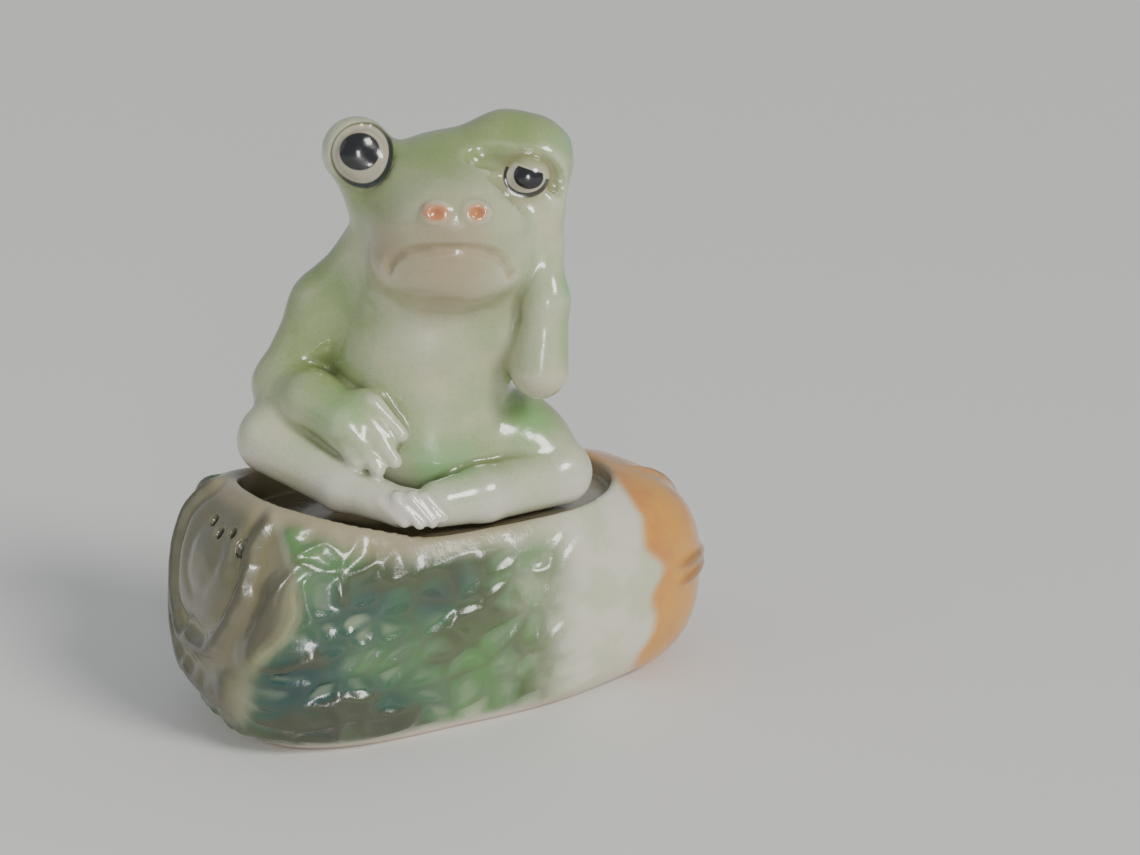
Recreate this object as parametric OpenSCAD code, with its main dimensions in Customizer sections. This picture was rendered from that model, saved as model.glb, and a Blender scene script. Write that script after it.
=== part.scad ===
// Two nesting shakers in glazed pottery: a frog that sits in the top of a cabbage lying on its side.
// Millimetres. The origin is the middle of the cabbage's foot, X runs from its leaves to its butt, Z is up.

/* [Cabbage] */
// Length of the cabbage, leaf end to butt end
cabbage_length = 93; // [88:1:98]
// Width of the cabbage, front to back
cabbage_width = 47; // [45:1:52]
// Height of the leafy end above the table
leaf_end_height = 41.5; // [40:0.5:44]
// Height of the butt end above the table
butt_end_height = 37.5; // [36:0.5:40]

/* [Seat] */
// Length of the oval recess that the frog sits in
seat_length = 64; // [62:1:66]
// Width of the recess, front to back
seat_width = 37.5; // [36:0.5:38]
// Height of the recess's floor above the table
seat_floor = 33.3; // [33:0.1:34]

/* [Frog] */
// Height of the frog from its flat underside to its brow
frog_height = 65.5; // [62:0.5:66]
// How far the frog is turned in its seat, in degrees
frog_turn = -32; // [-35:1:-25]

/* [Pottery] */
// Thickness of the fired clay
wall = 3.2; // [2.8:0.2:3.6]
// Diameter of each pour hole
pour_hole = 1.8; // [1.5:0.1:2.5]

/* [Stoppers] */
// Diameter of the fill hole under the cabbage
base_fill_hole = 17; // [15:0.5:19]
// Diameter of the fill hole under the frog
frog_fill_hole = 14; // [12:0.5:15]
// Radial clearance around each stopper
stopper_gap = 0.05; // [0.03:0.01:0.1]

/* [Hidden] */

// The frog's points are set out on a frog this tall, and scaled to frog_height
design_height = 65.5;
frog_scale = frog_height / design_height;
// The frog sits a little behind and to the leafy side of the cabbage's middle
frog_place = [-5, -2, seat_floor + 0.3];
seat_centre = [-4, -1];
// Sides of the cells that the clay's skin is meshed on
frog_cell = 2.25;
cabbage_cell = 3;
cavity_cell = 3.6;
// Fill holes, in their own shell's frame, and how far each cork is set in above the foot
base_hole_at = [2, 0];
frog_hole_at = [0, 3];
pour_hole_length = 20;
foot_cut_depth = 20;
cabbage_grid = [[-50, -27.5, -10], [50, 27.5, 45]];
cabbage_inside_grid = [[-49, -28, 0], [49, 28, 42]];
frog_grid = [[-33, -26, -3], [31, 22, 69]];
frog_inside_grid = [[-20, -21, 1], [24, 22, 62]];
stopper_inset = 0.8;
stopper_length = 8;
cork_chamfer = 0.8;
round_fn = 64;
pour_fn = 24;
glaze_green = "#a9b48e";
leaf_green = "#7f9273";
cork_brown = "#a9825a";

// ---- blending of rounded forms: each gives the distance from p to a surface, negative inside ----

function smooth_min(a, b, k) = let (h = max(k - abs(a - b), 0) / k) min(a, b) - h * h * k / 4;
function smooth_max(a, b, k) = -smooth_min(-a, -b, k);
function clamp01(t) = min(max(t, 0), 1);

// A tapered limb between two round ends: [from, radius, to, radius, blend]
function limb_distance(p, s) =
    let (along = s[2] - s[0], t = clamp01(((p - s[0]) * along) / (along * along)))
    norm(p - s[0] - t * along) - (s[1] + t * (s[3] - s[1]));

// An ellipsoid: [centre, radii, blend]
function lobe_distance(p, s) =
    let (
        q = [for (i = [0:2]) (p[i] - s[0][i]) / s[1][i]],
        steep = norm([for (i = [0:2]) q[i] / s[1][i]]),
        size = norm(q)
    )
    size * (size - 1) / max(steep, 0.001);

// A rounded loaf, squarer than an ellipsoid: power 2 is an ellipsoid, and larger is squarer
function loaf_distance(p, centre, radii, power) =
    let (
        q = [for (i = [0:len(radii) - 1]) abs((p[i] - centre[i]) / radii[i])],
        size = pow([for (i = [0:len(q) - 1]) pow(q[i], power)] * [for (i = q) 1], 1 / power) + 0.000001,
        steep = norm([for (i = [0:len(q) - 1]) pow(q[i], power - 1) / radii[i]]) * pow(size, 1 - power)
    )
    (size - 1) / max(steep, 0.001);

function form_distance(p, s) = len(s) == 3 ? lobe_distance(p, s) : limb_distance(p, s);
function form_blend(s) = s[len(s) - 1];

// Forms joined one after another, each with its own blend
function blended(p, forms, i = 1, d = undef) =
    let (now = d == undef ? form_distance(p, forms[0]) : d)
    i == len(forms) ? now :
    blended(p, forms, i + 1, smooth_min(now, form_distance(p, forms[i]), form_blend(forms[i])));

// ---- the frog, in its own frame: it faces -Y, and Z = 0 is its flat underside ----

frog_trunk = [
    // torso, haunches, neck
    [[-0.5, 1.5, 23], [15, 13, 21], 1],
    [[0, 4, 9], [19, 15, 10], 6],
    [[1, 1, 34], 11.5, [3, 0, 44], 10.5, 6],
    // skull, muzzle, jaw
    [[4.5, -0.5, 51.5], [16, 12.5, 10.5], 4],
    [[5.8, -9.5, 49], [11.5, 9.5, 7.5], 5],
    [[4.8, -7.6, 42], [12.2, 9.8, 6.8], 4],
];

eye_and_brow = [
    // the open eye stands up on the head
    [[-7.5, 0, 54], 5, [-9.9, -2, 59.3], 5.6, 4],
    // the brow over the half-closed eye is pushed up by the hand
    [[5, 1, 54], 7, [14, 0.5, 58], 6.8, 4],
    [[14, 0.5, 58.5], 6.8, [18, -0.5, 58.6], 6.4, 3],
    [[15.5, -4.5, 54.5], 5.2, [17, -3, 50], 5, 4],
];

left_elbow = [-23.2, 0, 20.5];
left_arm = [
    [[-10.5, 2, 35.5], 6.8, [-16.5, 1.2, 33.5], 6, 3],
    [[-16.5, 1.2, 33.5], 6, left_elbow, 5, 3],
    [left_elbow, 5, [-18, -7, 19.5], 4.6, 2],
    [[-18, -7, 19.5], 4.6, [-11.5, -13, 17], 3.8, 2],
    [[-11.5, -13, 17], 3.8, [-8, -15.5, 12], 3.2, 2],
];

right_wrist = [20.4, -7.2, 36];
right_arm = [
    [[12, 3, 36], 6, [18.5, -3, 27], 5.2, 4],
    [[19.2, -7, 24.6], 4.8, right_wrist, 3.5, 2],
    [right_wrist, 3.5, [19.8, -5.5, 45], 3, 2],
    [[19.8, -5.5, 45], 3, [19.6, -5, 51], 3.4, 2],
    [[19.6, -5, 51], 3.4, [19.5, -2, 57], 5, 2],
];

left_ankle = [-3, -18.8, 4.9];
left_shin = [-12.5, -15, 7.4];
left_leg = [
    [[-10, 6, 10], 9, [-23.5, -5, 13], 6.2, 3],
    [[-24.6, -7, 12.8], 5.7, left_shin, 4.1, 2],
    [left_shin, 4.1, left_ankle, 3.1, 2],
    [left_ankle, 3.1, [2, -20, 3.6], 2.4, 2],
];

right_thigh = [15.5, 2.5, 8.2];
right_shin = [10, -11.5, 4.9];
right_leg = [
    [[10, 4, 9], 9, right_thigh, 9, 3],
    [right_thigh, 9, [22.3, -1, 6], 5.3, 3],
    [[22.8, -1.5, 5.2], 4.9, right_shin, 4.6, 2],
    [right_shin, 4.6, [3, -16, 4.6], 3.8, 2],
];

frog_forms = concat(frog_trunk, eye_and_brow, left_arm, right_arm, left_leg, right_leg);
frog_skin = function (p) blended(p, frog_forms);

// Slip drains from the trunk and the head only: the limbs are solid clay
frog_inside = function (p) smooth_max(blended(p, frog_trunk) + wall, wall - p.z, 3);

// ---- the cabbage ----

leaf_body = [-8, 0, 18];
leaf_radii = [cabbage_length / 2 - 8, cabbage_width / 2, leaf_end_height - 18];
butt_body = [12, 0, 17];
butt_radii = [cabbage_length / 2 - 12, cabbage_width / 2 - 1, butt_end_height - 17];

// The folded leaf tips stand up at the end
tips_radii = [18, cabbage_width / 2 - 1.5, 19.5];
tips_body = [tips_radii.x - cabbage_length / 2 + 1, 0, leaf_end_height - tips_radii.z];

function cabbage_body(p) = smooth_min(
    smooth_min(
        loaf_distance(p, leaf_body, leaf_radii, 3),
        loaf_distance(p, butt_body, butt_radii, 2.8), 5),
    loaf_distance(p, tips_body, tips_radii, 3), 3);

function seat_recess(p) = max(
    loaf_distance(p, seat_centre, [seat_length / 2, seat_width / 2], 2.8),
    seat_floor - p.z);

cabbage_skin = function (p) smooth_max(cabbage_body(p), -seat_recess(p), 2);
cabbage_inside = function (p) smooth_max(cabbage_skin(p) + wall, wall - p.z, 3);

// ---- a closed skin over the place where a field changes sign ----

// Each cell that the surface crosses gets one point, the mean of its crossed edges
CORNERS = [for (x = [0, 1]) for (y = [0, 1]) for (z = [0, 1]) [x, y, z]];
EDGES = [for (a = [0:7]) for (b = [a + 1:7]) if (norm(CORNERS[a] - CORNERS[b]) == 1) [a, b]];

function cell_values(v, i, j, k) = [for (c = CORNERS) v[i + c.x][j + c.y][k + c.z]];
function is_crossed(w) = min(w) < 0 && max(w) >= 0;
function cell_point(w) =
    let (cuts = [
        for (e = EDGES)
            let (a = w[e[0]], b = w[e[1]])
            if ((a < 0) != (b < 0)) CORNERS[e[0]] + (CORNERS[e[1]] - CORNERS[e[0]]) * a / (a - b)
    ])
    [for (i = [0:2]) [for (c = cuts) c[i]] * [for (c = cuts) 1] / len(cuts)];

// Where clay meets clay only corner to corner across a cell's face, the thinner gap is filled, so that the
// skin never touches itself along an edge
FACE_TURNS = [
    for (plane = [[[1, 0, 0], [0, 1, 0]], [[0, 1, 0], [0, 0, 1]], [[1, 0, 0], [0, 0, 1]]])
        for (a = [-1, 1]) for (b = [-1, 1]) [a * plane[0], b * plane[1]]
];
function value_at(v, g) = v[g.x][g.y][g.z];
function meets_at_corner(v, g) = len([
    for (t = FACE_TURNS)
        let (across = value_at(v, g + t[0] + t[1]))
        if (across >= value_at(v, g) && value_at(v, g + t[0]) < 0 && value_at(v, g + t[1]) < 0) 1
]) > 0;
function corners_filled(v, n, near) = [
    for (i = [0:n.x]) [for (j = [0:n.y]) [for (k = [0:n.z])
        v[i][j][k] >= 0 && v[i][j][k] < near && min(i, j, k, n.x - i, n.y - j, n.z - k) > 0
            && meets_at_corner(v, [i, j, k]) ? -0.05 * near : v[i][j][k]]]
];

// Two triangles on the shorter diagonal of four points, turned to face outwards
function quad(points, a, b, c, d, flip) =
    let (q = flip ? [a, d, c, b] : [a, b, c, d])
    norm(points[q[0]] - points[q[2]]) < norm(points[q[1]] - points[q[3]])
        ? [[q[0], q[1], q[2]], [q[0], q[2], q[3]]]
        : [[q[0], q[1], q[3]], [q[1], q[2], q[3]]];

module skin(field, low, high, cell) {
    n = [for (i = [0:2]) ceil((high[i] - low[i]) / cell)];
    sampled = [for (i = [0:n.x]) [for (j = [0:n.y]) [for (k = [0:n.z]) field(low + cell * [i, j, k])]]];
    v = corners_filled(corners_filled(corners_filled(sampled, n, 2 * cell), n, 2 * cell), n, 2 * cell);
    cells = [for (i = [0:n.x - 1]) for (j = [0:n.y - 1]) for (k = [0:n.z - 1]) [i, j, k]];
    crossed = [for (c = cells) is_crossed(cell_values(v, c.x, c.y, c.z))];
    number = [for (c = 0, used = 0; c < len(cells); used = used + (crossed[c] ? 1 : 0), c = c + 1) used];
    points = [
        for (c = [0:len(cells) - 1])
            if (crossed[c])
                low + cell * (cells[c] + cell_point(cell_values(v, cells[c].x, cells[c].y, cells[c].z)))
    ];
    at = function (i, j, k) number[(i * n.y + j) * n.z + k];
    faces = [
        for (i = [0:n.x - 1]) for (j = [0:n.y - 1]) for (k = [0:n.z - 1])
            let (here = v[i][j][k] < 0)
            each concat(
                j > 0 && k > 0 && here != (v[i + 1][j][k] < 0)
                    ? quad(points, at(i, j - 1, k - 1), at(i, j - 1, k), at(i, j, k), at(i, j, k - 1), !here) : [],
                i > 0 && k > 0 && here != (v[i][j + 1][k] < 0)
                    ? quad(points, at(i - 1, j, k - 1), at(i, j, k - 1), at(i, j, k), at(i - 1, j, k), !here) : [],
                i > 0 && j > 0 && here != (v[i][j][k + 1] < 0)
                    ? quad(points, at(i - 1, j - 1, k), at(i - 1, j, k), at(i, j, k), at(i, j - 1, k), !here) : []
            )
    ];
    polyhedron(points = points, faces = faces, convexity = 10);
}

// ---- the pieces ----

// Straight parallel holes from points inside the clay, tipped from upright and then turned about Z
module drill(starts, tip, turn, diameter, length) {
    for (start = starts)
        translate(start)
            rotate([0, tip, turn])
                cylinder(d = diameter, h = length, $fn = pour_fn);
}

// Four pour holes in the folded leaves, in two staggered rows
leaf_pour_starts = [for (i = [0:3]) [-34, -11 + 3.6 * i, 27.5 + 1.6 * (i % 2)]];
leaf_pour_tip = -50;

module cabbage_shell() {
    foot_cut = [cabbage_length * 1.2, cabbage_width * 1.2, foot_cut_depth];
    color(leaf_green)
        difference() {
            skin(cabbage_skin, cabbage_grid[0], cabbage_grid[1], cabbage_cell);
            skin(cabbage_inside, cabbage_inside_grid[0], cabbage_inside_grid[1], cavity_cell);
            translate([-foot_cut.x / 2, -foot_cut.y / 2, -foot_cut.z])
                cube(foot_cut);
            translate([base_hole_at.x, base_hole_at.y, -1])
                cylinder(d = base_fill_hole, h = wall + 4, $fn = round_fn);
            drill(leaf_pour_starts, leaf_pour_tip, 0, pour_hole, pour_hole_length);
        }
}

// Three pour holes in a row across the back of the frog's head
head_pour_starts = [for (x = [-1.5, 3, 7.5]) [x, 3, 50]];
head_pour_tip = 75;

module frog_shell_upright() {
    foot_cut = [80, 80, foot_cut_depth];
    difference() {
        skin(frog_skin, frog_grid[0], frog_grid[1], frog_cell);
        skin(frog_inside, frog_inside_grid[0], frog_inside_grid[1], cavity_cell);
        translate([-foot_cut.x / 2, -foot_cut.y / 2, -foot_cut.z])
            cube(foot_cut);
        translate([frog_hole_at.x, frog_hole_at.y, -1])
            cylinder(d = frog_fill_hole, h = wall + 4, $fn = round_fn);
        drill(head_pour_starts, head_pour_tip, 90, pour_hole, pour_hole_length);
    }
}

module frog_shell() {
    color(glaze_green)
        translate(frog_place)
            rotate([0, 0, frog_turn])
                scale(frog_scale)
                    frog_shell_upright();
}

// A cork with a chamfer at both ends
module cork(diameter) {
    rotate_extrude($fn = round_fn)
        polygon([
            [0, 0],
            [diameter / 2 - cork_chamfer, 0],
            [diameter / 2, cork_chamfer],
            [diameter / 2, stopper_length - cork_chamfer],
            [diameter / 2 - cork_chamfer, stopper_length],
            [0, stopper_length],
        ]);
}

module cabbage_stopper() {
    color(cork_brown)
        translate([base_hole_at.x, base_hole_at.y, stopper_inset])
            cork(base_fill_hole - 2 * stopper_gap);
}

module frog_stopper() {
    color(cork_brown)
        translate(frog_place)
            rotate([0, 0, frog_turn])
                scale(frog_scale)
                    translate([frog_hole_at.x, frog_hole_at.y, stopper_inset])
                        cork(frog_fill_hole - 2 * stopper_gap);
}

cabbage_shell();
frog_shell();
cabbage_stopper();
frog_stopper();
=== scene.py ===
"""Two nesting shakers in glazed pottery: a pensive frog, seated in a cabbage lying on its side.

Both shells are sculpted as blended rounded forms, in millimetres, and meshed where their distance
is zero. The frog is sculpted in its own frame: it faces -Y and its flat underside is at Z = 0.
"""
import math

import bpy
import numpy as np
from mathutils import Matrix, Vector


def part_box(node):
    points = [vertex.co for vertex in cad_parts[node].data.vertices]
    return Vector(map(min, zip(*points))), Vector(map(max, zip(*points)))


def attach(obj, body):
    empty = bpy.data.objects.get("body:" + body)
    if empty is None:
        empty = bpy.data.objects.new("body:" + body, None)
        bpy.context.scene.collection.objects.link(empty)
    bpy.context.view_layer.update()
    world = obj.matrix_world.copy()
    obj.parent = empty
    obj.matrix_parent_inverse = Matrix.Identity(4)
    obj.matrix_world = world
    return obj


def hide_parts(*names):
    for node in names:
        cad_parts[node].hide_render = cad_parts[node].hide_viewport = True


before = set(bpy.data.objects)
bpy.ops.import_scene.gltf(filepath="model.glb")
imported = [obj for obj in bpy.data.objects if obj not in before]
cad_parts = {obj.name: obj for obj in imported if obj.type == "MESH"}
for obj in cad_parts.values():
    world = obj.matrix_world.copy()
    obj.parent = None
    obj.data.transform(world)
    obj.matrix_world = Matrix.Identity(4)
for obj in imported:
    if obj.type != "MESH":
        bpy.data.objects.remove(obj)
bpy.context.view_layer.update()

import openvdb
from mathutils import Vector

MM = 0.001

# ---- driving dimensions, from the frame ----
base_low, base_high = (np.array(c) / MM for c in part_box("cabbage_shell"))
frog_low = np.array(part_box("frog_shell")[0]) / MM
BASE_LENGTH = base_high[0] - base_low[0]
FROG_Z = frog_low[2]
FROG_XY = (-5.0, -2.0)
FROG_TURN = math.radians(-32.0)
SEAT_GAP = 0.3
SEAT_FLOOR = FROG_Z - SEAT_GAP
WALL = 3.2
SEAT_CENTRE = (-4.0, -1.0)
SEAT_RADII = (32.0, 18.75)
SEAT_POWER = 2.8
# Each fill hole's X, Y and radius
BASE_HOLE = (2.0, 0.0, 8.5)
FROG_HOLE = (0.0, 3.0, 7.0)
UP = (0, 0, 1)
POUR_RADIUS = 0.9
POUR_DEPTH = 20
HEAD_POUR_TILT = math.radians(75)
HEAD_POUR_WAY = (0, math.sin(HEAD_POUR_TILT), math.cos(HEAD_POUR_TILT))
HEAD_POUR_STARTS = [(-1.5 + 4.5 * i, 3, 50) for i in range(3)]
LEAF_POUR_TILT = math.radians(50)
LEAF_POUR_WAY = (-math.sin(LEAF_POUR_TILT), 0, math.cos(LEAF_POUR_TILT))
LEAF_POUR_STARTS = [(-34, -11 + 3.6 * i, 27.5 + 1.6 * (i % 2)) for i in range(4)]

# ---- sculpting grids ----
FROG_CELL = 0.48
BASE_CELL = 0.58
CORK_CELL = 0.3
FAR = 20.0
JOIN_MARGIN = 1.5
BLUR_REACH = 4
BLUR_PASSES = 8
FOOT_ROUNDING = 0.8

# ---- camera ----
CAMERA_TURN = -32.0
CAMERA_LIFT = 15.0
CAMERA_DISTANCE = 350.0
CAMERA_TARGET = (15.5, -14.8, 46.6)
CAMERA_LENS = 66.3
LIGHTS_AIM = (0, 0, 45)


# ---------------------------------------------------------------- sculpting
def smooth_min(a, b, k):
    """The lesser of two distances, blended where they are within k of each other."""
    h = np.maximum(k - np.abs(a - b), 0.0) / k
    return np.minimum(a, b) - h * h * k * 0.25


def smooth_max(a, b, k):
    return -smooth_min(-a, -b, k)


class Clay:
    """Distances to a surface on a box of cells, negative inside the clay."""

    def __init__(self, low, high, cell):
        self.low = np.array(low, float)
        self.cell = cell
        self.count = np.ceil((np.array(high) - self.low) / cell).astype(int) + 1
        self.axes = [(low + cell * np.arange(count)).astype(np.float32)
                     for low, count in zip(self.low, self.count)]
        self.v = np.full(tuple(self.count), FAR, np.float32)

    def near(self, low, high):
        """The slices of the cells in a box, and their coordinates, ready to broadcast."""
        sl = []
        for i in range(3):
            a = int(np.clip((low[i] - self.low[i]) // self.cell, 0, self.count[i]))
            b = int(np.clip((high[i] - self.low[i]) // self.cell + 2, 0, self.count[i]))
            sl.append(slice(a, b))
        x, y, z = (self.axes[i][sl[i]] for i in range(3))
        return tuple(sl), x[:, None, None], y[None, :, None], z[None, None, :]

    def join(self, low, high, k, distance, mode):
        """Adds a shape to the clay, or cuts it away, in and near the box that holds it."""
        margin = k + JOIN_MARGIN
        sl, x, y, z = self.near([v - margin for v in low], [v + margin for v in high])
        if 0 in self.v[sl].shape:
            return
        d = distance(x, y, z)
        f = self.v[sl]
        self.v[sl] = smooth_min(f, d, k) if mode == "add" else smooth_max(f, -d, k)

    def limb(self, a, ra, b, rb, k=2.0, mode="add"):
        """A tapered limb between two round ends."""
        a, b = np.array(a, float), np.array(b, float)
        along = b - a
        length = float(along @ along) + 1e-9

        def distance(x, y, z):
            px, py, pz = x - a[0], y - a[1], z - a[2]
            t = np.clip((px * along[0] + py * along[1] + pz * along[2]) / length, 0, 1)
            off = (px - t * along[0]) ** 2 + (py - t * along[1]) ** 2 + (pz - t * along[2]) ** 2
            return np.sqrt(off) - (ra + t * (rb - ra))

        self.join(np.minimum(a - ra, b - rb), np.maximum(a + ra, b + rb), k, distance, mode)

    def chain(self, joints, k=2.0, mode="add"):
        """Limbs end to end through (point, radius) pairs."""
        for (p, r), (q, s) in zip(joints[:-1], joints[1:]):
            self.limb(p, r, q, s, k, mode)

    def lobe(self, centre, radii, k=2.0, mode="add"):
        """An ellipsoid."""
        c, r = np.array(centre, float), np.array(radii, float)

        def distance(x, y, z):
            q = (x - c[0], y - c[1], z - c[2])
            size = np.sqrt(sum((q[i] / r[i]) ** 2 for i in range(3)))
            steep = np.sqrt(sum((q[i] / r[i] ** 2) ** 2 for i in range(3))) + 1e-6
            return size * (size - 1) / steep

        self.join(c - r, c + r, k, distance, mode)

    def loaf(self, centre, radii, power, k=2.0):
        """A rounded loaf: power 2 is an ellipsoid, and larger is squarer."""

        def distance(x, y, z):
            return loaf_distance((x, y, z), centre, radii, power)

        c, r = np.array(centre, float), np.array(radii, float)
        self.join(c - r, c + r, k, distance, "add")

    def drill(self, start, way, depth, radius, k=0.3):
        """A straight round hole from start."""
        start = np.array(start)
        self.limb(start, radius, start + depth * np.array(way), radius, k, "cut")

    def everywhere(self):
        """The coordinates of every cell, ready to broadcast."""
        x, y, z = self.axes
        return x[:, None, None], y[None, :, None], z[None, None, :]

    def flatten_foot(self):
        """Takes away the clay below Z = 0."""
        self.v = smooth_max(self.v, -self.everywhere()[2], FOOT_ROUNDING)

    def hollow(self, inside, k=2.0):
        """Takes away the clay where inside is negative."""
        self.v = smooth_max(self.v, -inside, k)

    def cavity(self, shape):
        """The distance to a hollow that keeps a wall inside a shape, and over the foot."""
        return smooth_max(shape + WALL, WALL - self.everywhere()[2], 3)

    def blurred(self, passes):
        """The distances averaged over a few cells, which tells ridges from creases."""
        v = np.clip(self.v, -BLUR_REACH, BLUR_REACH)
        for _ in range(passes):
            for axis in range(3):
                v = (np.roll(v, 1, axis) + 2 * v + np.roll(v, -1, axis)) * 0.25
        return v

    def sample(self, grid, p):
        """grid read between its cells at points p."""
        q = (p - self.low) / self.cell
        i = np.clip(np.floor(q).astype(int), 0, self.count - 2)
        t = np.clip(q - i, 0, 1)
        total = 0
        for dx in (0, 1):
            for dy in (0, 1):
                for dz in (0, 1):
                    w = 1.0
                    for axis, d in enumerate((dx, dy, dz)):
                        w = w * (t[:, axis] if d else 1 - t[:, axis])
                    total = total + w * grid[i[:, 0] + dx, i[:, 1] + dy, i[:, 2] + dz]
        return total

    def skin(self):
        """Points, in millimetres, and the surface's quads, wound so that they face into the clay."""
        grid = openvdb.FloatGrid(FAR)
        grid.copyFromArray(self.v)
        grid.transform = openvdb.createLinearTransform(voxelSize=self.cell)
        points, quads = grid.convertToQuads(isovalue=0.0)
        return points.astype(np.float64) + self.low, quads[:, ::-1].astype(np.int32)


def loaf_distance(p, centre, radii, power):
    q = [np.abs((w - c) / r) for w, c, r in zip(p, centre, radii)]
    size = sum(w ** power for w in q) ** (1 / power) + 1e-6
    steep = np.sqrt(sum((w ** (power - 1) / r) ** 2 for w, r in zip(q, radii)))
    return (size - 1) / (steep * size ** (1 - power) + 1e-6)


def mesh_object(name, points, quads, attributes):
    """A smooth-shaded mesh from points in millimetres, with a float attribute for each mask."""
    mesh = bpy.data.meshes.new(name)
    mesh.vertices.add(len(points))
    mesh.vertices.foreach_set("co", (points * MM).astype(np.float32).ravel())
    sides = quads.shape[1]
    mesh.loops.add(quads.size)
    mesh.loops.foreach_set("vertex_index", quads.ravel())
    mesh.polygons.add(len(quads))
    mesh.polygons.foreach_set("loop_start", np.arange(0, quads.size, sides, dtype=np.int32))
    mesh.polygons.foreach_set("loop_total", np.full(len(quads), sides, np.int32))
    mesh.polygons.foreach_set("use_smooth", np.ones(len(quads), bool))
    mesh.update(calc_edges=True)
    mesh.validate()
    for key, values in attributes.items():
        layer = mesh.attributes.new(key, "FLOAT", "POINT")
        layer.data.foreach_set("value", np.clip(values, 0, 1).astype(np.float32))
    obj = bpy.data.objects.new(name, mesh)
    bpy.context.scene.collection.objects.link(obj)
    return obj


def vertex_normals(points, quads):
    """Unit normals that follow the quads' winding, so they point into the clay."""
    a, b, c, d = (points[quads[:, i]] for i in range(4))
    diagonals = np.cross(c - a, d - b)
    normals = np.zeros_like(points)
    for i in range(4):
        np.add.at(normals, quads[:, i], diagonals)
    return normals / (np.linalg.norm(normals, axis=1, keepdims=True) + 1e-12)


# ---------------------------------------------------------------- patterns
def rise(value, low, high):
    """0 at low and below, 1 at high and above, smooth between. high may be under low."""
    t = np.clip((value - low) / (high - low), 0, 1)
    return t * t * (3 - 2 * t)


def hashed(i, j, seed):
    """A repeatable number from 0 to 1 for each pair of whole numbers."""
    n = np.sin(i * 127.1 + j * 311.7 + seed * 74.7) * 43758.5453
    return n - np.floor(n)


def ripple(x, y, seed):
    """Smooth noise from -1 to 1 with features about 1 wide."""
    i, j = np.floor(x), np.floor(y)
    u, v = x - i, y - j
    u, v = u * u * (3 - 2 * u), v * v * (3 - 2 * v)
    low = hashed(i, j, seed) * (1 - u) + hashed(i + 1, j, seed) * u
    high = hashed(i, j + 1, seed) * (1 - u) + hashed(i + 1, j + 1, seed) * u
    return (low * (1 - v) + high * v) * 2 - 1


def blisters(x, y, seed):
    """Puffed cells about 1 wide: 1 in the middle of each and 0 in the creases between them."""
    i, j = np.floor(x), np.floor(y)
    first = np.full(x.shape, 9.0)
    second = np.full(x.shape, 9.0)
    for di in (-1, 0, 1):
        for dj in (-1, 0, 1):
            ci, cj = i + di, j + dj
            px = ci + 0.15 + 0.7 * hashed(ci, cj, seed)
            py = cj + 0.15 + 0.7 * hashed(ci, cj, seed + 1)
            d = np.hypot(x - px, y - py)
            closer = d < first
            second = np.where(closer, first, np.minimum(second, d))
            first = np.where(closer, d, first)
    return rise(second - first, -0.1, 0.75)


def spray(p, spots):
    """The soft airbrushed mask that spots leave: each is (centre, reach, strength)."""
    mask = np.zeros(len(p))
    for centre, reach, strength in spots:
        d2 = ((p - np.array(centre)) ** 2).sum(1) / reach ** 2
        mask = 1 - (1 - mask) * (1 - strength * np.exp(-d2))
    return mask


# ---------------------------------------------------------------- the frog
LEFT_EYE = (-9.9, -2.0, 59.2)
# The middles of the painted eyes, as X and Z
LEFT_EYE_PAINT = (-8.8, 59.2)
LEFT_EYE_RING = 4.6
RIGHT_EYE_PAINT = (17.3, 56.3)
LID_SLOPE = 0.31
NOSTRILS = ((3.6, 52.2), (10.0, 52.2))
# The mouth's line, corner to corner, as X and Z: Y comes from the surface
MOUTH = (
    (-4.4, 42.6), (-4.1, 43.9), (-2.0, 45.4), (1.6, 46.2), (5.8, 46.5), (10.0, 46.2),
    (12.9, 45.2), (14.6, 43.4), (15.2, 41.2),
)
BROW_CREASE = ((9.5, 59.2), (13.5, 59.3), (17.5, 58.7), (20.8, 57.2), (22.4, 54.8))
# Each finger and toe, from its root to its tip
FINGERS = (((-14.6, -12.8, 17.2), (-9.6, -16.8, 11.8)), ((-11.6, -14.2, 18.4), (-6.3, -17.8, 10.8)),
           ((-8.6, -14.6, 18.8), (-3.6, -17.4, 12.0)), ((-7.2, -13.8, 20.6), (-2.6, -15.4, 15.8)))
TOES = (((-5.8, -20.0, 6.4), (-2.0, -21.2, 3.2)), ((-3.2, -20.6, 7.0), (0.4, -21.5, 3.0)),
        ((-0.9, -20.6, 7.0), (2.4, -21.3, 3.2)), ((1.2, -19.9, 6.8), (4.1, -20.6, 3.8)))
# Where the frog's colours are sprayed or wiped: centre, reach and strength
GREEN_SPOTS = (
    ((16, -2, 65), 10, 0.95), ((3, -4, 62), 9, 0.8), ((6, 6, 60), 13, 0.85),
    ((4, -10, 57), 6, 0.6), ((-7, -7, 52), 7, 0.85), ((-8, -3, 63), 4, 0.5),
    ((-4, -10, 49), 5, 0.45), ((13, -10, 52), 4, 0.5), ((-16, 2, 38), 8, 0.9),
    ((-20, 2, 28), 9, 0.85), ((-18, -6, 21), 8, 0.8), ((-12, -13, 19), 6, 0.75),
    ((25, -6, 36), 5, 0.8), ((24, -6, 28), 5, 0.7), ((22, -3, 47), 5, 0.6),
    ((23, -3, 56), 5, 0.5), ((18, 0, 15), 8, 0.95), ((9, -11, 10), 6, 0.85),
    ((12, -8, 34), 6, 0.55), ((-10, -10, 34), 7, 0.6), ((-4, -12, 24), 6, 0.4),
    ((10, -10, 22), 6, 0.45), ((0, -12, 12), 6, 0.6), ((0, 16, 30), 16, 0.85),
    ((0, 14, 48), 12, 0.85), ((0, 18, 12), 10, 0.7), ((-12, 12, 14), 8, 0.6),
)
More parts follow.
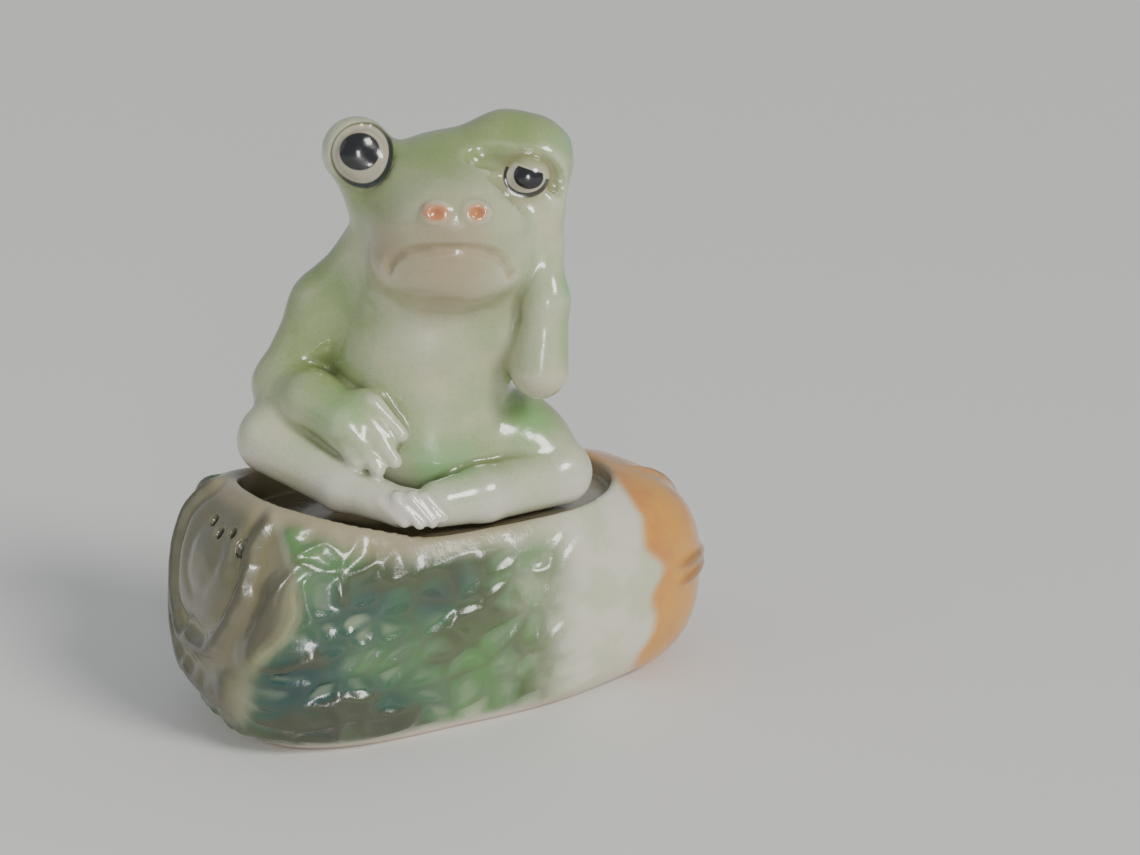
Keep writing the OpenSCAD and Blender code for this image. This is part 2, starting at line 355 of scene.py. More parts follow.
BRIGHT_SPOTS = (
    ((2, -13, 9), 4.5, 0.8), ((7, -13, 10.5), 4, 0.6), ((18, -3, 15), 4.5, 0.6),
    ((25, -7, 38), 3.5, 0.9), ((24.5, -7, 30), 3.5, 0.6), ((-12, -15, 19), 4, 0.4),
    ((24, -2, 60), 3.5, 0.5),
)
WHITE_SPOTS = (
    ((-26, -9, 10), 6, 0.8), ((-13, -16, 7), 6, 0.9), ((-1, -21, 4), 7, 0.9),
    ((25, -5, 3), 6, 0.85), ((12, -14, 3), 6, 0.8), ((1, -13, 31), 5, 0.35),
    ((19, -9, 24), 4, 0.2),
)
WARM_SPOTS = (
    ((5, -15, 40), 8, 0.95), ((6, -18, 47), 7, 0.9), ((-4, -13, 45), 6, 0.85),
    ((19, -10, 22), 4, 0.5), ((3, -12, 26), 5, 0.25),
)


def add_trunk(clay):
    clay.lobe((-0.5, 1.5, 23), (15, 13, 21), k=1)
    clay.lobe((0, 4, 9), (19, 15, 10), k=6)
    clay.limb((1, 1, 34), 11.5, (3, 0, 44), 10.5, k=6)
    clay.lobe((4.5, -0.5, 51.5), (16, 12.5, 10.5), k=4)
    clay.lobe((5.8, -9.5, 49), (11.5, 9.5, 7.5), k=5)
    clay.lobe((4.8, -7.8, 42.0), (12.4, 9.9, 7.0), k=4)
    # the throat fills in beside the raised arm
    clay.limb((11, -3, 33), 5.5, (14.5, -4, 45), 5.2, k=4)


def add_head(clay):
    # the neck runs out into the shoulder
    clay.limb((-5, 1, 45), 6.8, (-12.0, 1.5, 38), 5.2, k=3)
    clay.limb((-7.5, 0, 54), 5.0, LEFT_EYE, 5.7, k=3)
    clay.limb((5, 1, 54), 7.0, (14, 0.5, 58.0), 6.8, k=4)
    clay.limb((14, 0.5, 58.5), 6.8, (18.0, -0.5, 58.6), 6.4, k=3)
    clay.limb((15.5, -4.5, 54.5), 5.2, (17, -3, 50), 5.0, k=4)
    # the nose's flat top
    clay.lobe((6.3, -12.5, 51.6), (6.8, 5.6, 3.6), k=4)


def add_arms(clay):
    elbow = (-23.2, 0, 20.5)
    clay.chain([((-10.0, 2, 35.3), 6.6), ((-15.8, 1.2, 33.2), 5.8), (elbow, 4.9)], k=3)
    clay.chain([(elbow, 5.0), ((-18, -7, 19.5), 4.6), ((-11.5, -13, 17), 3.8)], k=2)
    clay.limb((12, 3, 36), 6, (18.5, -3, 27), 5.2, k=4)
    wrist = (20.4, -7.2, 36)
    clay.limb((19.2, -7, 24.6), 4.8, wrist, 3.5, k=1.5)
    clay.chain([(wrist, 3.5), ((19.8, -5.5, 45), 3.0), ((19.6, -5, 51), 3.4),
                ((19.5, -2, 57), 5.0)], k=2)
    # the right hand's fingers wrap round behind the brow
    for turn in range(3):
        root = (21.3 - 0.8 * turn, -1.5 + 2.6 * turn, 50.5)
        tip = (22.6 - 2.2 * turn, 0.0 + 2.9 * turn, 60.5 - 0.8 * turn)
        clay.limb(root, 1.9, tip, 1.6, k=0.9)


def add_legs(clay):
    clay.limb((-10, 6, 10), 9, (-23.5, -5, 13), 6.2, k=3)
    ankle = (-3, -18.6, 4.9)
    clay.chain([((-24.6, -7, 12.8), 5.7), ((-12.5, -15, 7.4), 4.1), (ankle, 3.1)], k=1.2)
    clay.lobe((-0.8, -18.9, 4.9), (4.9, 2.8, 2.9), k=1.5)
    clay.chain([((10, 4, 9), 9), ((15.5, 2.5, 8.2), 9.0), ((22.3, -1, 6.0), 5.3)], k=3)
    clay.chain([((22.8, -1.5, 5.2), 4.9), ((10, -11.5, 4.9), 4.6), ((3, -16, 4.6), 3.8)], k=1.2)


def front(clay, x, z):
    """The Y of the clay's front surface at X and Z."""
    i, k = (int(round((w - clay.low[n]) / clay.cell)) for w, n in ((x, 0), (z, 2)))
    column = clay.v[i, :, k]
    j = int(np.argmax(column < 0))
    back = column[j - 1] / (column[j - 1] - column[j])
    return float(clay.axes[1][j - 1] + clay.cell * back)


def rounded(points):
    """The same line with its corners cut off, twice."""
    for _ in range(2):
        cut = [points[0]]
        for (ax, az), (bx, bz) in zip(points[:-1], points[1:]):
            cut += [(0.75 * ax + 0.25 * bx, 0.75 * az + 0.25 * bz),
                    (0.25 * ax + 0.75 * bx, 0.25 * az + 0.75 * bz)]
        points = cut + [points[-1]]
    return points


def on_front(clay, points, proud):
    """(X, Z) pairs as points standing a little proud of the clay's front surface."""
    return [(x, front(clay, x, z) - proud, z) for x, z in points]


def add_fingers_and_toes(clay):
    clay.chain([((-17, -8.5, 19.6), 4.3), ((-11.0, -12.6, 17.2), 4.0), ((-6.8, -14.2, 14.0), 3.2)],
               k=2.0)
    clay.limb((-8.5, -12.0, 19.5), 3.0, (-5.5, -13.0, 15.5), 2.6, k=2.0)
    for root, tip in FINGERS:
        clay.limb(root, 1.5, tip, 1.2, k=1.2)
    for root, tip in TOES:
        clay.limb(root, 1.15, tip, 1.0, k=0.35)


def carve_face(clay):
    """Cuts the mouth, brow, eyes and nostrils, and gives back the mouth's groove."""
    groove = on_front(clay, rounded(MOUTH), 0.25)
    clay.chain([(p, 0.4) for p in groove], k=0.9, mode="cut")
    crease = on_front(clay, rounded(BROW_CREASE), 0.1)
    clay.chain([(p, 0.7) for p in crease], k=2.2, mode="cut")
    carve_right_eye(clay)
    for x, z in NOSTRILS:
        y = front(clay, x, z)
        clay.lobe((x, y, z), (2.0, 1.1, 1.5), k=1.6)
        clay.lobe((x, y - 1.0, z), (0.8, 1.0, 0.6), k=0.9, mode="cut")
    cx, cz = LEFT_EYE_PAINT
    ring = [(cx + LEFT_EYE_RING * math.cos(t), cz + LEFT_EYE_RING * math.sin(t))
            for t in np.arange(21) * math.pi / 10]
    clay.chain([(p, 0.5) for p in on_front(clay, ring, 0.25)], k=0.7, mode="cut")
    return groove


def carve_right_eye(clay):
    """A ball under a heavy lid, in a shallow socket."""
    cx, cz = RIGHT_EYE_PAINT
    y = front(clay, cx, cz)
    clay.lobe((cx - 0.5, y - 0.8, cz - 1.5), (4.8, 1.6, 3.4), k=2.4, mode="cut")
    clay.lobe((cx, y + 3.2, cz - 0.2), (3.8, 3.5, 3.2), k=0.6)


def distance_to_chain(p, chain):
    """How far each point is from a line through the chain's points."""
    best = np.full(len(p), 99.0)
    for a, b in zip(chain[:-1], chain[1:]):
        a, b = np.array(a), np.array(b)
        t = np.clip((p - a) @ (b - a) / ((b - a) @ (b - a)), 0, 1)
        best = np.minimum(best, np.linalg.norm(p - a - t[:, None] * (b - a), axis=1))
    return best


def frog_masks(clay, points, groove):
    """Where each of the frog's colours is sprayed or wiped, from 0 to 1."""
    lip = np.exp(-(distance_to_chain(points, groove) / 0.75) ** 2)
    ends = np.clip(np.abs(points[:, 0] - 5.6) / 10, 0, 1)
    return {
        "green": spray(points, GREEN_SPOTS),
        "bright": spray(points, BRIGHT_SPOTS),
        "white": spray(points, WHITE_SPOTS),
        "warm": spray(points, WARM_SPOTS),
        "lip": lip * (0.45 + 0.55 * ends),
        # Low in creases and high on ridges: frog_glaze paints shade into the creases and a highlight
        # onto the ridges from it
        "crease": 0.5 + 1.3 * clay.sample(clay.blurred(BLUR_PASSES), points),
        "foot": rise(points[:, 2], 0.9, 0.2),
    }


def make_frog():
    clay = Clay((-35, -27, -2), (31, 23, 72), FROG_CELL)
    add_trunk(clay)
    trunk = clay.v.copy()
    add_head(clay)
    add_arms(clay)
    add_legs(clay)
    add_fingers_and_toes(clay)
    groove = carve_face(clay)
    clay.flatten_foot()
    clay.hollow(clay.cavity(trunk))
    hx, hy, radius = FROG_HOLE
    clay.drill((hx, hy, -2), UP, 7, radius)
    for start in HEAD_POUR_STARTS:
        clay.drill(start, HEAD_POUR_WAY, POUR_DEPTH, POUR_RADIUS)
    points, quads = clay.skin()
    obj = mesh_object("frog", points, quads, frog_masks(clay, points, groove))
    obj.location = (FROG_XY[0] * MM, FROG_XY[1] * MM, FROG_Z * MM)
    obj.rotation_euler = (0, 0, FROG_TURN)
    return obj


# ---------------------------------------------------------------- the cabbage
HEART = (-1.0, 31.0)
BODY_AXIS_Z = 19.0
# Each folded leaf edge round the heart: how far out, how wide and its relief
LEAF_RINGS = (
    (4.5, 1.5, 0.35), (10.5, 1.3, 0.95), (12.9, 1.2, -0.8), (15.4, 1.5, 0.9), (18.2, 1.4, -0.9),
)
# Where teal is sprayed on the sides: X, 0 and Z, reach and strength
TEAL_SPOTS = (
    ((-38, 0, 14), 9, 1.0), ((-31, 0, 22), 8, 0.85), ((-34, 0, 4), 10, 1.0),
    ((-25, 0, 28), 7, 0.75), ((-14, 0, 27), 8, 0.95), ((-23, 0, 5), 9, 0.9),
)
BUTT_CREASES = (176, 185, 112, 58, 5, -50, -120)


def seat_distance(x, y):
    """How far outside the seat's oval a place is."""
    return loaf_distance((x, y), SEAT_CENTRE, SEAT_RADII, SEAT_POWER)


def flow(x, y, seed):
    """Smooth noise like ripple's, with no grain along its axes."""
    turned = ripple(0.8 * x + 0.6 * y + 31, 0.8 * y - 0.6 * x + 17, seed + 50)
    return 0.75 * (ripple(x, y, seed) + turned)


def end_edge(z):
    """The X where the crinkled side gives way to the folded leaf ends."""
    return -43.5 + 6.0 * rise(z, 13, 27)


def leaf_relief(p):
    """The crinkled leaves' relief in millimetres, where there is leaf, and the end's rib."""
    x, y, z = p.T
    round_way = 22 * np.arctan2(z - BODY_AXIS_Z, np.abs(y)) + np.where(y > 0, 70, 0)
    edge = end_edge(z) + 0.8 * flow(y / 6, z / 6, 33)
    leafy = rise(x + 3 * flow(y / 5, z / 5, 12), 19, 5)
    leafy = leafy * rise(x - edge, -1.2, 1.2) * rise(z, 0.6, 4)
    w = round_way - 0.16 * x + 2.0 * flow(x / 9, round_way / 6, 6)
    u = x + 2.5 * flow(x / 9 + 5, round_way / 6, 5)
    folds = flow(u / 10, w / 5.0, 1)
    rims = (1 - np.minimum(np.abs(folds) * 1.3, 1)) ** 2
    puffs = blisters(u / 6.4, w / 4.2, 1)
    dimples = flow(u / 3.4, w / 2.6, 2)
    calm = np.exp(-((x + 14) / 11) ** 2 - ((z - 29) / 5.5) ** 2)
    h = 0.8 * folds + 0.35 * rims + 0.75 * puffs + 0.08 * dimples - 0.65
    h = h * (1 - 0.6 * calm) - 0.5 * calm
    rib = 0.9 * np.exp(-((x - edge + 0.6) / 1.0) ** 2) * rise(z, 3, 8) * rise(z, 33, 28)
    return h * leafy + rib, leafy, np.clip(rib, 0, 1)


def heart_relief(p):
    """Leaf edges folded round each other at the leafy end."""
    x, y, z = p.T
    out = np.hypot(y - HEART[0], (z - HEART[1]) / 1.25)
    out = out + 1.2 * ripple(y / 7, z / 7, 8) + 0.5 * ripple(y / 2.5, z / 2.5, 9)
    h = 0
    for ring, width, proud in LEAF_RINGS:
        h = h + proud * np.exp(-((out - ring) / width) ** 2)
    return h * rise(x, -34, -39) * rise(z, 1, 6)


def butt_relief(p):
    """Lines that run in to the middle of the butt end."""
    x, y, z = p.T
    h = np.zeros(len(p))
    for degrees in BUTT_CREASES:
        way = math.radians(degrees)
        along = y * math.cos(way) + (z - BODY_AXIS_Z) * math.sin(way)
        off = -y * math.sin(way) + (z - BODY_AXIS_Z) * math.cos(way)
        h -= 0.8 * np.exp(-(off / 1.0) ** 2) * rise(along, -1, 3)
    swell = 0.25 * ripple(y / 9, z / 9, 11)
    return (h + swell) * rise(x, 30, 41)


def make_base():
    clay = Clay((-50, -28, -4), (50, 28, 46), BASE_CELL)
    clay.loaf((-8, 0, 18), (BASE_LENGTH / 2 - 8, 23.5, 23.5), 3.0, k=1)
    clay.loaf((12, 0, 17), (BASE_LENGTH / 2 - 12, 22.5, 20.5), 2.8, k=5)
    clay.loaf((-27.5, 0, 22), (18, 22, 19.5), 3.0, k=3)
    x, y, z = clay.everywhere()
    clay.hollow(np.maximum(seat_distance(x, y), SEAT_FLOOR - z))
    inside = clay.cavity(clay.v)
    clay.flatten_foot()
    outer = clay.v.copy()
    clay.hollow(inside, k=1)
    hx, hy, radius = BASE_HOLE
    clay.drill((hx, hy, -2), UP, 8, radius)
    for start in LEAF_POUR_STARTS:
        clay.drill(start, LEAF_POUR_WAY, POUR_DEPTH, POUR_RADIUS, k=0.4)
    points, quads = clay.skin()
    skin = rise(clay.sample(outer, points), -1.6, -0.4)
    height = points[:, 2]
    outside_seat = rise(seat_distance(points[:, 0], points[:, 1]), 0.8, 5.0)
    outside_seat = np.maximum(outside_seat, rise(height, 33.5, 28.5))
    leaf, leafy, rib = leaf_relief(points)
    relief = leaf + heart_relief(points) + butt_relief(points)
    relief = relief * outside_seat * rise(height, 0.3, 2.5)
    foot_ridge = 0.3 * np.exp(-((height - 0.8) / 0.7) ** 2)
    relief = (relief + foot_ridge * rise(height, 0.05, 0.5)) * skin
    # The normals point into the clay, so relief above 0 sinks and relief below 0 stands out
    points += vertex_normals(points, quads) * relief[:, None]
    masks = base_masks(clay, points, leafy * outside_seat, rib, relief)
    return mesh_object("cabbage", points, quads, masks)


def base_masks(clay, points, leafy, rib, relief):
    """Where each of the cabbage's colours is sprayed or wiped, from 0 to 1."""
    x, y, z = points.T
    side = np.where(y > 0, 1, -1)
    patchy = ripple(x / 7, (z + 40 * side) / 6, 21)
    teal = spray(points * np.array((1, 0, 1)), TEAL_SPOTS)
    green = rise(x + 4 * patchy, 16, -6)
    scallop = 3.5 * np.exp(-((z - 21) / 3.5) ** 2)
    return {
        "leafy": leafy, "green": green * leafy, "teal": teal * leafy * rise(patchy, -1.6, -0.1),
        # raised is high where make_base sinks the surface and low where it stands out: cabbage_glaze
        # paints a highlight on the high places and shade on the low ones
        "rib": rib, "raised": 0.5 + 0.5 * relief,
        "butt": rise(x - scallop + 1.6 * flow(y / 7, z / 5, 31), 25.5, 28.5),
        "end": rise(x - end_edge(z) - 0.8 * flow(y / 6, z / 6, 33), 1.0, -1.2),
        "khaki": rise(seat_distance(x, y), 5.5, 2.5) * rise(z, 30, 34) * rise(x, 14, -2),
        # Where cabbage_glaze paints shade into the recess that the frog sits in
        "seat": rise(seat_distance(x, y), 1.5, -0.5) * rise(z, 29, 32),
        "foot": rise(z, 1.3, 0.4),
        "crease": 0.5 + 1.0 * clay.sample(clay.blurred(BLUR_PASSES), points),
    }


# ---------------------------------------------------------------- the stoppers
def make_cork(name, node):
    """A cork disc with a chamfered rim and grain. Its pores stand up to 0.5 mm past its CAD plug."""
    low, high = (np.array(c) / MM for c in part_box(node))
    centre = (low + high) / 2
    radius = (high[0] - low[0]) / 2
    height = high[2] - low[2]
    reach = np.array((radius + 1, radius + 1, height / 2 + 1))
    clay = Clay(-reach, reach, CORK_CELL)
    x, y, z = clay.everywhere()
    side = np.hypot(x, y) - radius
    ends = np.abs(z) - height / 2
    chamfer = (side + ends) / math.sqrt(2) + 0.55
    clay.v = np.maximum(np.maximum(side, ends), chamfer).astype(np.float32)
    points, quads = clay.skin()
    x, y, z = points.T
    flat = np.abs(z) > height / 2 - 0.2
    across = np.where(flat, y, z)
    along = np.where(flat, x, np.arctan2(y, x) * radius)
    grain = ripple(along / 0.9, across / 0.9, 41)
    pore = ripple(along / 1.5, across / 0.8, 43) * ripple(along / 0.8, across / 1.3, 44)
    pore = rise(pore, 0.18, 0.45)
    points += vertex_normals(points, quads) * (0.05 * grain - 0.05 - 0.45 * pore)[:, None]
    obj = mesh_object(name, points, quads, {"pore": pore, "grain": 0.5 + 0.5 * grain})
    obj.location = [float(c) * MM for c in centre]
    return obj


# ---------------------------------------------------------------- materials
# Colours as eight-bit sRGB numbers
FROG_CREAM = (186, 186, 154)
FROG_PALE_GREEN = (172, 182, 146)
FROG_GREEN = (126, 146, 84)
MINT = (118, 178, 112)
SHIN_WHITE = (204, 197, 188)
JAW_BROWN = (150, 130, 98)
FROG_SPECKLE = (100, 112, 74)
FROG_CREASE_SHADE = (104, 112, 70)
FROG_RIDGE_HIGHLIGHT = (212, 210, 192)
LIP_PINK = (186, 124, 104)
NOSTRIL_ORANGE = (190, 116, 68)
FROG_FOOT = (138, 118, 92)
EYE_SHADOW = (112, 118, 76)
SHADED_LEFT_EYE_WHITE = (168, 163, 140)
RING_BROWN = (70, 64, 42)
SHADED_RING_BLACK = (34, 42, 34)
PUPIL = (22, 22, 26)
SOCKET_SHADE_BROWN = (150, 128, 96)
RIGHT_EYE_OUTLINE = (48, 46, 34)
LIT_RIGHT_EYE_WHITE = (180, 175, 154)
CABBAGE_CREAM = (200, 197, 178)
CABBAGE_PALE_GREEN = (186, 188, 160)
LEAF_GREEN = (86, 116, 76)
LEAF_BRIGHT = (84, 128, 68)
LEAF_TEAL = (32, 62, 62)
LEAF_VALLEY_SHADE = (74, 66, 42)
LEAF_RIDGE_HIGHLIGHT = (160, 172, 138)
SHADED_END_OLIVE = (88, 84, 60)
END_RIDGE_HIGHLIGHT = (118, 112, 80)
END_VALLEY_SHADE = (54, 52, 34)
RIB_GREEN = (132, 134, 92)
RIM_KHAKI = (150, 138, 108)
BUTT_YELLOW = (200, 142, 56)
BUTT_ORANGE = (186, 120, 66)
BUTT_RIDGE_HIGHLIGHT = (206, 178, 120)
BUTT_CREASE_SHADE = (128, 86, 46)
SEAT_SHADE_BROWN = (102, 90, 70)
CABBAGE_SPECKLE = (88, 96, 56)
CABBAGE_FOOT = (190, 170, 156)
CORK_TAN = (190, 148, 98)
CORK_BROWN = (156, 112, 68)
CORK_PALE = (214, 178, 128)
CORK_PORE = (92, 58, 32)
FLOOR_WHITE = (232, 230, 227)


class Paint:
    """A principled material built up from masks and noise."""

    def __init__(self, name, roughness, coat=0.0):
        self.material = bpy.data.materials.new(name)
        self.material.use_nodes = True
        self.tree = self.material.node_tree
        self.shader = next(n for n in self.tree.nodes if n.type == "BSDF_PRINCIPLED")
        self.shader.inputs["Roughness"].default_value = roughness
        self.shader.inputs["Coat Weight"].default_value = coat
        self.shader.inputs["Coat Roughness"].default_value = 0.06
        self.place = self.tree.nodes.new("ShaderNodeTexCoord").outputs["Object"]
        self.colour = None

    def node(self, kind, inputs=(), **settings):
        """A node with its inputs linked or set, and its settings."""
        node = self.tree.nodes.new(kind)
        for key, value in settings.items():
            setattr(node, key, value)
        for key, value in dict(inputs).items():
            if isinstance(value, bpy.types.NodeSocket):
                self.tree.links.new(value, node.inputs[key])
            else:
                node.inputs[key].default_value = value
        return node

    def along(self, axis):
        """A place's coordinate along an axis, in metres."""
        return self.node("ShaderNodeSeparateXYZ", {"Vector": self.place}).outputs[axis]

    def mask(self, name):
        return self.node("ShaderNodeAttribute", attribute_name=name).outputs["Fac"]

    def maths(self, operation, a, b=0.0, c=0.0):
        return self.node("ShaderNodeMath", {0: a, 1: b, 2: c}, operation=operation).outputs[0]

    def times(self, first, *others):
        for other in others:
            first = self.maths("MULTIPLY", first, other)
        return first

    def ramp(self, value, low, high):
        """0 at low and 1 at high, smooth between."""
        node = self.node("ShaderNodeMapRange", {"Value": value, "From Min": low, "From Max": high},
                         interpolation_type="SMOOTHSTEP")
        return node.outputs["Result"]

    def noise(self, width, detail=3.0, rough=0.55):
        """Noise with features width millimetres wide, from 0 to 1."""
        inputs = {"Vector": self.place, "Scale": 1 / (width * MM), "Detail": detail,
                  "Roughness": rough}
        return self.node("ShaderNodeTexNoise", inputs).outputs["Fac"]

    def start(self, colour):
        rgb = self.node("ShaderNodeRGB")
        rgb.outputs[0].default_value = srgb(colour)
        self.colour = rgb.outputs[0]

    def over(self, colour, amount):
        """Lays a colour over what is there, as thick as amount."""
        node = self.node("ShaderNodeMix", data_type="RGBA")
        sockets = {i.identifier: i for i in node.inputs}
        factor = sockets["Factor_Float"]
        if isinstance(amount, bpy.types.NodeSocket):
            self.tree.links.new(amount, factor)
        else:
            factor.default_value = amount
        self.tree.links.new(self.colour, sockets["A_Color"])
        sockets["B_Color"].default_value = srgb(colour)
        self.colour = next(o for o in node.outputs if o.identifier == "Result_Color")

    def finish(self, roughness=None, bumps=()):
        """Joins it all to the shader. Each bump is (height, depth in millimetres)."""
        self.tree.links.new(self.colour, self.shader.inputs["Base Color"])
        if roughness is not None:
            self.tree.links.new(roughness, self.shader.inputs["Roughness"])
        normal = None
        for height, depth in bumps:
            inputs = {"Height": height, "Distance": depth * MM, "Strength": 1.0}
            node = self.node("ShaderNodeBump", inputs)
            if normal is not None:
                self.tree.links.new(normal, node.inputs["Normal"])
            normal = node.outputs["Normal"]
        if normal is not None:
            self.tree.links.new(normal, self.shader.inputs["Normal"])
        return self.material


def srgb(colour):
    """Eight-bit sRGB numbers as the linear colour that the shader takes."""
    linear = [(c / 255 / 12.92) if c <= 10 else ((c / 255 + 0.055) / 1.055) ** 2.4 for c in colour]
    return (*linear, 1.0)


def oval(paint, centre, radii, turn=0.0):
    """How far a place is from the middle of an oval in X and Z: 1 on its edge."""
    x = paint.maths("SUBTRACT", paint.along("X"), centre[0] * MM)
    z = paint.maths("SUBTRACT", paint.along("Z"), centre[1] * MM)
    c, s = math.cos(math.radians(turn)), math.sin(math.radians(turn))
    u = paint.maths("ADD", paint.times(x, c), paint.times(z, s))
    v = paint.maths("SUBTRACT", paint.times(z, c), paint.times(x, s))
    u = paint.maths("DIVIDE", u, radii[0] * MM)
    v = paint.maths("DIVIDE", v, radii[1] * MM)
    return paint.maths("SQRT", paint.maths("ADD", paint.times(u, u), paint.times(v, v)))


def facing_front(paint, behind):
    """1 in front of a depth and 0 behind it, so that the face's paint stays on the face."""
    return paint.ramp(paint.along("Y"), behind * MM, (behind - 0.5) * MM)


def frog_glaze():
    paint = Paint("frog_glaze", 0.18, coat=0.6)
    cloud = paint.noise(9, 4)
    speckle = paint.ramp(paint.noise(0.5, 2, 0.7), 0.52, 0.74)
    fine = paint.noise(0.35, 2)
    paint.start(FROG_CREAM)
    paint.over(FROG_PALE_GREEN, paint.ramp(cloud, 0.35, 0.62))
    sprayed = paint.mask("green")
    for noise, unevenness in ((cloud, 0.5), (fine, 0.3)):
        uneven = paint.times(paint.maths("SUBTRACT", noise, 0.5), unevenness)
        sprayed = paint.maths("ADD", sprayed, uneven)
    paint.over(FROG_GREEN, paint.ramp(sprayed, 0.0, 1.05))
    paint.over(MINT, paint.times(paint.mask("bright"), 0.85))
    paint.over(SHIN_WHITE, paint.times(paint.mask("white"), 0.95))
    paint.over(JAW_BROWN, paint.times(paint.mask("warm"), 0.85))
    paint.over(FROG_SPECKLE, paint.times(speckle, 0.2))
    # Painted shade: a dull green laid into the creases and hollows, where the crease mask is low
    crease = paint.ramp(paint.mask("crease"), 0.47, 0.2)
    paint.over(FROG_CREASE_SHADE, paint.times(crease, 0.6))
    # Painted highlight: a pale cream laid over the ridges, where the crease mask is high
    paint.over(FROG_RIDGE_HIGHLIGHT, paint.times(paint.ramp(paint.mask("crease"), 0.62, 0.85), 0.35))
    paint.over(LIP_PINK, paint.times(paint.mask("lip"), 0.4))
    for (x, z), radii in zip(NOSTRILS, ((2.1, 1.35), (1.6, 1.35))):
        spot = paint.ramp(oval(paint, (x, z), radii), 1.35, 0.6)
        paint.over(NOSTRIL_ORANGE, paint.times(spot, facing_front(paint, -12), 0.9))
    paint_left_eye(paint)
    paint_right_eye(paint)
    paint.over(FROG_FOOT, paint.times(paint.mask("foot"), 0.9))
    dull = paint.maths("MULTIPLY_ADD", paint.mask("foot"), 0.6, 0.16)
    return paint.finish(paint.maths("MULTIPLY_ADD", fine, 0.08, dull),
                        [(paint.noise(4, 2), 0.12), (fine, 0.015)])


def paint_left_eye(paint):
    cx, cz = LEFT_EYE_PAINT
    front_side = facing_front(paint, -2.5)
    lower_right = eye_shadow(paint, cx, cz)
    rim = oval(paint, (cx, cz), (4.95, 5.05))
    paint.over(EYE_SHADOW, paint.times(paint.ramp(rim, 1.35, 1.0), lower_right, 0.6))
    # The eye's white, painted darker as the shaded copy of the right eye's white
    paint.over(SHADED_LEFT_EYE_WHITE, paint.times(paint.ramp(rim, 1.0, 0.9), front_side))
    inner = oval(paint, (cx - 0.2, cz + 0.2), (4.3, 4.4))
    ring = paint.times(paint.ramp(rim, 1.04, 0.96), paint.ramp(inner, 1.0, 1.06), front_side)
    paint.over(RING_BROWN, paint.times(ring, 0.85))
    # Painted shade: the ring turns black at its lower right, under the lower_right painted shadow
    # mask
    paint.over(SHADED_RING_BLACK, paint.times(ring, lower_right))
    pupil = paint.ramp(oval(paint, (cx - 0.25, cz + 0.7), (3.2, 2.95)), 1.04, 0.94)
    paint.over(PUPIL, paint.times(pupil, front_side))


def eye_shadow(paint, cx, cz):
    """1 at the lower right of the left eye's ring and 0 at its upper left."""
    x = paint.maths("SUBTRACT", paint.along("X"), cx * MM)
    z = paint.maths("SUBTRACT", paint.along("Z"), cz * MM)
    return paint.ramp(paint.maths("SUBTRACT", x, z), -2 * MM, 3 * MM)


def below_lid(paint, cx, cz, lift):
    """1 under the right eye's slanting lid edge and 0 over it."""
    height = paint.maths("ADD", paint.along("Z"), paint.times(paint.along("X"), LID_SLOPE))
    edge = cz + LID_SLOPE * cx + lift
    return paint.ramp(height, (edge + 0.12) * MM, (edge - 0.12) * MM)


def paint_right_eye(paint):
    cx, cz = RIGHT_EYE_PAINT
    front_side = facing_front(paint, -4)
    eye = oval(paint, (cx, cz), (3.1, 2.6))
    whole = oval(paint, (cx + 0.05, cz - 0.1), (3.7, 3.3))
    # Painted shade: a brown wash round the eye, in its shallow socket
    paint.over(SOCKET_SHADE_BROWN, paint.times(paint.ramp(whole, 1.5, 1.0), front_side, 0.35))
    outline = paint.times(paint.ramp(whole, 1.03, 0.96), below_lid(paint, cx, cz, 0.5), front_side)
    paint.over(RIGHT_EYE_OUTLINE, outline)
    seen = paint.times(paint.ramp(eye, 1.03, 0.95), below_lid(paint, cx, cz, 1.6), front_side)
    # The eye's white, painted lighter as the lit copy of the left eye's white
    paint.over(LIT_RIGHT_EYE_WHITE, seen)
    pupil = paint.ramp(oval(paint, (cx + 0.35, cz + 0.05), (2.4, 2.0), -17), 1.04, 0.94)
    paint.over(PUPIL, paint.times(pupil, below_lid(paint, cx, cz, 1.35), seen))


